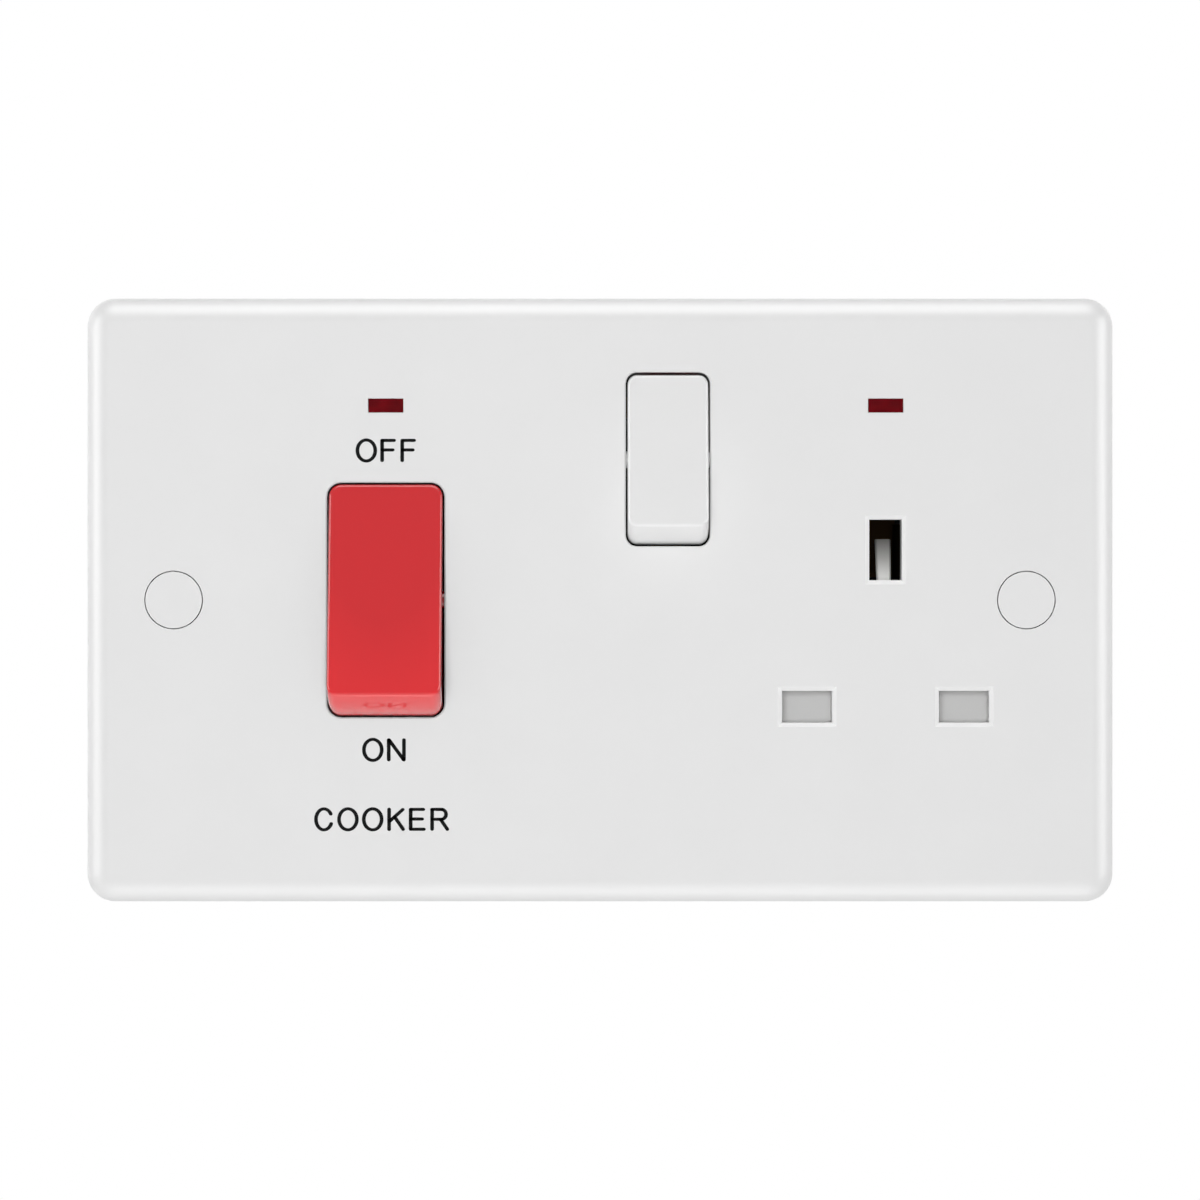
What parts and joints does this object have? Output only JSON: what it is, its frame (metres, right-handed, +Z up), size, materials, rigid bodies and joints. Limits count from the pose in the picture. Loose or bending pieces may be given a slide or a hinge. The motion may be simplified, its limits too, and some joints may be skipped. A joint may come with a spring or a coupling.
{
  "type": "cooker control unit",
  "caption": "White wall plate with a large red rocker switch for a cooker, a small rocker switch, a shuttered socket outlet and neon indicators, with cable terminals behind.",
  "frame": {"origin": "centre of the plate on the wall plane", "axes": "+X to the right and +Z up for someone facing the plate, +Y into the wall"},
  "size_m": [0.146, 0.0388, 0.086],
  "materials": {
    "white_moulding": "satin",
    "red_moulding": "gloss",
    "white_rocker": "gloss",
    "dark_moulding": "matte",
    "shutter_plastic": "satin",
    "plunger_plastic": "satin",
    "red_lens": "gloss",
    "brass": "satin",
    "plated_steel": "plated",
    "spring_steel": "drawn",
    "lamp_glass": "clear",
    "resistor_body": "matte"
  },
  "bodies": {
    "unit": {"front_plate": "white_moulding", "cooker_base": "dark_moulding", "outlet_base": "dark_moulding", "shutter_spring": "spring_steel", "fixing_screws": "plated_steel", "cooker_base_screws": "plated_steel", "outlet_base_screws": "plated_steel", "cooker_terminal_screws": "brass", "earth_terminal_screw": "brass", "earth_terminal": "brass", "live_busbar": "brass", "neutral_busbar": "brass", "line_contact": "brass", "neutral_contact": "brass", "earth_contact": "brass", "supply_strip_neutral": "brass", "load_strip_live": "brass", "supply_terminal_live": "brass", "load_terminal_live": "brass", "load_strip_neutral": "brass", "supply_terminal_neutral": "brass", "load_terminal_neutral": "brass", "cooker_neon_lens": "red_lens", "cooker_neon_lamp": "lamp_glass", "cooker_neon_resistor": "resistor_body", "cooker_neon_lead": "plated_steel", "outlet_neon_lens": "red_lens", "outlet_neon_lamp": "lamp_glass", "outlet_neon_resistor": "resistor_body", "outlet_neon_lead": "plated_steel"},
    "cooker_rocker": {"cooker_rocker": "red_moulding", "cooker_plunger_spring_live": "spring_steel", "cooker_plunger_spring_neutral": "spring_steel"},
    "cooker_plunger_live": {"cooker_plunger_live": "plunger_plastic"},
    "cooker_plunger_neutral": {"cooker_plunger_neutral": "plunger_plastic"},
    "cooker_arm_live": {"cooker_contact_arm_live": "brass"},
    "cooker_arm_neutral": {"cooker_contact_arm_neutral": "brass"},
    "socket_rocker": {"socket_rocker": "white_rocker", "socket_plunger_spring": "spring_steel"},
    "socket_plunger": {"socket_plunger": "plunger_plastic"},
    "socket_arm": {"socket_contact_arm": "brass"},
    "shutter": {"shutter": "shutter_plastic"},
    "left_cap": {"screw_cap_left": "white_moulding"},
    "right_cap": {"screw_cap_right": "white_moulding"}
  },
  "joints": [
    {"name": "cooker_rocker_press", "type": "hinge", "parent": "unit", "child": "cooker_rocker", "pos_m": [-0.0303, -0.0073, 0], "axis": [1, 0, 0], "range_deg": [0, 28]},
    {"name": "cooker_plunger_live_slide", "type": "slide", "parent": "cooker_rocker", "child": "cooker_plunger_live", "axis": [0, -0.9703, 0.2419], "range_m": [0, 0.0006], "stiffness_N_per_m": 800, "springref_m": -0.002, "deforming": ["cooker_plunger_spring_live"]},
    {"name": "cooker_arm_live_rock", "type": "hinge", "parent": "unit", "child": "cooker_arm_live", "pos_m": [-0.0261, 0.0054, 0], "axis": [1, 0, 0], "range_deg": [-14, 0]},
    {"name": "cooker_plunger_neutral_slide", "type": "slide", "parent": "cooker_rocker", "child": "cooker_plunger_neutral", "axis": [0, -0.9703, 0.2419], "range_m": [0, 0.0006], "stiffness_N_per_m": 800, "springref_m": -0.002, "deforming": ["cooker_plunger_spring_neutral"]},
    {"name": "cooker_arm_neutral_rock", "type": "hinge", "parent": "unit", "child": "cooker_arm_neutral", "pos_m": [-0.0345, 0.0054, 0], "axis": [1, 0, 0], "range_deg": [-14, 0]},
    {"name": "socket_rocker_press", "type": "hinge", "parent": "unit", "child": "socket_rocker", "pos_m": [0.0096, -0.0073, 0.0199], "axis": [1, 0, 0], "range_deg": [0, 28]},
    {"name": "socket_plunger_slide", "type": "slide", "parent": "socket_rocker", "child": "socket_plunger", "axis": [0, -0.9703, 0.2419], "range_m": [0, 0.0006], "stiffness_N_per_m": 800, "springref_m": -0.002, "deforming": ["socket_plunger_spring"]},
    {"name": "socket_arm_rock", "type": "hinge", "parent": "unit", "child": "socket_arm", "pos_m": [0.0096, 0.0054, 0.0199], "axis": [1, 0, 0], "range_deg": [-14, 0]},
    {"name": "shutter_slide", "type": "slide", "parent": "unit", "child": "shutter", "axis": [0, 0, -1], "range_m": [0, 0.0056], "stiffness_N_per_m": 200, "springref_m": -0.003, "deforming": ["shutter_spring"]},
    {"name": "left_cap_pull", "type": "slide", "parent": "unit", "child": "left_cap", "axis": [0, -1, 0], "range_m": [0, 0.008]},
    {"name": "right_cap_pull", "type": "slide", "parent": "unit", "child": "right_cap", "axis": [0, -1, 0], "range_m": [0, 0.008]}
  ],
  "couplings": [
    {"joint": "cooker_arm_live_rock", "follows": "cooker_rocker_press", "ratio": -0.5},
    {"joint": "cooker_arm_neutral_rock", "follows": "cooker_rocker_press", "ratio": -0.5},
    {"joint": "socket_arm_rock", "follows": "socket_rocker_press", "ratio": -0.5}
  ]
}
